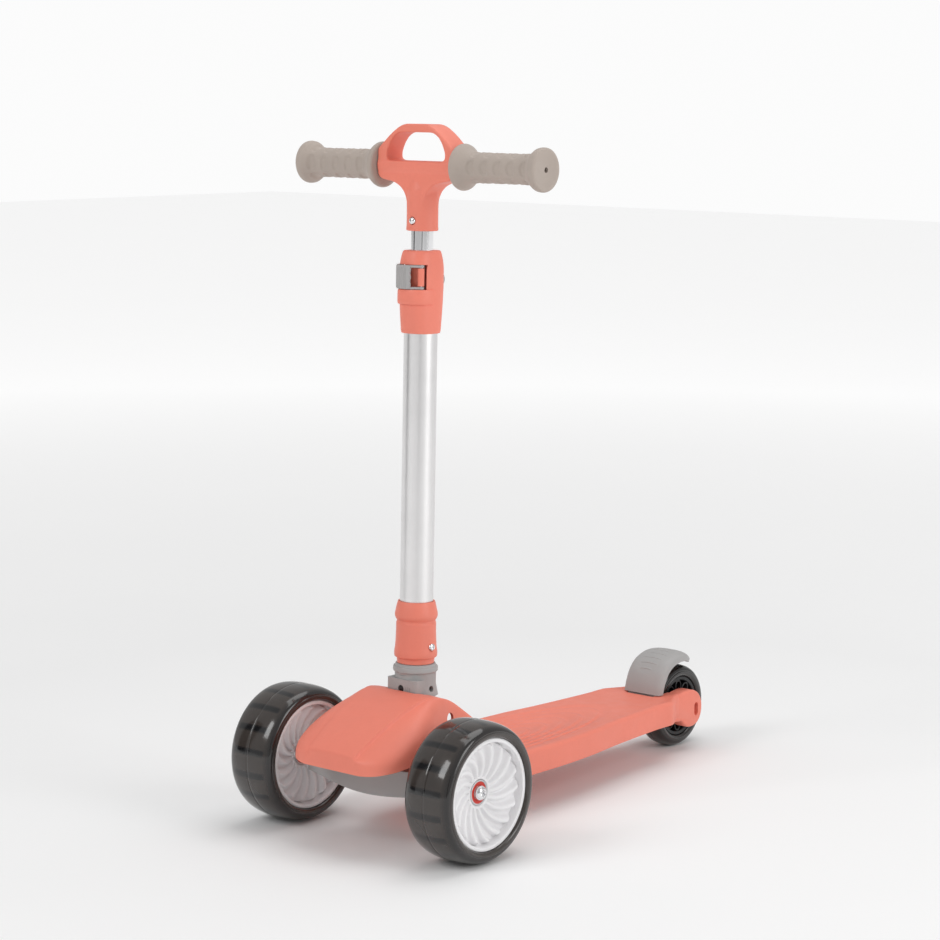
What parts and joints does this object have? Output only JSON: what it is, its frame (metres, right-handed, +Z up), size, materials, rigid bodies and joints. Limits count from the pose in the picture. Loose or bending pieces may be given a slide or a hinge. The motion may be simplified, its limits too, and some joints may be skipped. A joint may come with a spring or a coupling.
{
  "type": "kick scooter",
  "caption": "Child's three-wheel kick scooter with lean-to-steer front truck, foot brake, folding stem, adjustable T handlebar and carry loop.",
  "frame": {"origin": "on the floor under the middle of the bounding box", "axes": "+Z up, -Y the riding direction, +X the rider's left"},
  "size_m": [0.264, 0.531, 0.6081],
  "materials": {
    "coral": "satin moulded plastic",
    "grey": "satin moulded plastic",
    "grip": "soft-touch rubber",
    "white": "smooth moulded plastic",
    "smoke": "translucent smoky polyurethane",
    "black": "moulded plastic",
    "rubber": "urethane cushion",
    "satin": "satin anodised",
    "chrome": "polished",
    "steel": "zinc plated",
    "bearing": "ground steel with red rubber seals"
  },
  "bodies": {
    "chassis": {"deck": "coral", "front_cover": "coral", "left_cover_screw": "steel", "right_cover_screw": "steel", "kingpin_bolt": "steel", "upper_cushion": "rubber", "lower_cushion": "rubber", "kingpin_washer": "steel", "kingpin_nut": "steel", "rear_axle": "steel", "rear_left_spacer": "black", "rear_right_spacer": "black", "fender_pin": "steel", "fender_spring": "steel", "fold_bracket": "grey", "fold_pivot_bolt": "steel", "fold_pivot_nut": "steel"},
    "truck": {"truck_beam": "grey", "left_axle_bolt": "chrome", "right_axle_bolt": "chrome"},
    "left_wheel": {"left_tyre": "smoke", "left_hub": "white", "left_outer_bearing": "bearing", "left_inner_bearing": "bearing"},
    "right_wheel": {"right_tyre": "smoke", "right_hub": "white", "right_outer_bearing": "bearing", "right_inner_bearing": "bearing"},
    "rear_wheel": {"rear_tyre": "smoke", "rear_hub": "black", "rear_left_bearing": "bearing", "rear_right_bearing": "bearing"},
    "brake": {"brake_fender": "grey"},
    "stem": {"hinge_knuckle": "grey", "fold_lock_pin": "black", "lower_sleeve": "coral", "sleeve_screw": "chrome", "stem_tube": "satin", "clamp_housing": "coral", "clamp_band": "coral", "lever_pin": "steel", "guide_bush": "black"},
    "fold_release": {"fold_button": "black"},
    "height_lever": {"clamp_lever": "grey"},
    "height_release": {"height_button": "grey"},
    "steerer_top": {"inner_tube": "chrome", "height_snap_pin": "steel", "height_snap_leaf": "steel", "handlebar_body": "coral", "left_bar_tube": "satin", "right_bar_tube": "satin", "left_grip": "grip", "right_grip": "grip"},
    "handlebar_release": {"stem_button": "chrome"}
  },
  "joints": [
    {"name": "lean_steer", "type": "hinge", "parent": "chassis", "child": "truck", "pos_m": [0, -0.205, 0.066], "axis": [0, -0.5736, 0.8192], "range_deg": [-12, 12], "stiffness_Nm_per_rad": 30},
    {"name": "left_wheel_spin", "type": "hinge", "parent": "truck", "child": "left_wheel", "pos_m": [0.1, -0.205, 0.06], "axis": [1, 0, 0], "continuous": true},
    {"name": "right_wheel_spin", "type": "hinge", "parent": "truck", "child": "right_wheel", "pos_m": [-0.1, -0.205, 0.06], "axis": [1, 0, 0], "continuous": true},
    {"name": "rear_wheel_spin", "type": "hinge", "parent": "chassis", "child": "rear_wheel", "pos_m": [0, 0.225, 0.04], "axis": [1, 0, 0], "continuous": true},
    {"name": "brake_press", "type": "hinge", "parent": "chassis", "child": "brake", "pos_m": [0, 0.179, 0.05], "axis": [-1, 0, 0], "range_deg": [0, 4.5], "stiffness_Nm_per_rad": 6},
    {"name": "stem_fold", "type": "hinge", "parent": "chassis", "child": "stem", "pos_m": [0, -0.1591, 0.103], "axis": [-1, 0, 0], "range_deg": [0, 80]},
    {"name": "fold_button_press", "type": "slide", "parent": "stem", "child": "fold_release", "axis": [0, 0.9999, -0.0162], "range_m": [0, 0.0025], "stiffness_N_per_m": 800},
    {"name": "handlebar_height", "type": "slide", "parent": "stem", "child": "steerer_top", "axis": [0, 0.0162, 0.9999], "range_m": [0, 0.18]},
    {"name": "clamp_lever_swing", "type": "hinge", "parent": "stem", "child": "height_lever", "pos_m": [0.0104, -0.16558, 0.48015], "axis": [0, 0.0162, 0.9999], "range_deg": [0, 100]},
    {"name": "height_button_press", "type": "slide", "parent": "stem", "child": "height_release", "axis": [0, -0.9999, 0.0162], "range_m": [0, 0.002], "stiffness_N_per_m": 800},
    {"name": "handlebar_button_press", "type": "slide", "parent": "steerer_top", "child": "handlebar_release", "axis": [0, 0.9999, -0.0162], "range_m": [0, 0.003], "stiffness_N_per_m": 800}
  ]
}
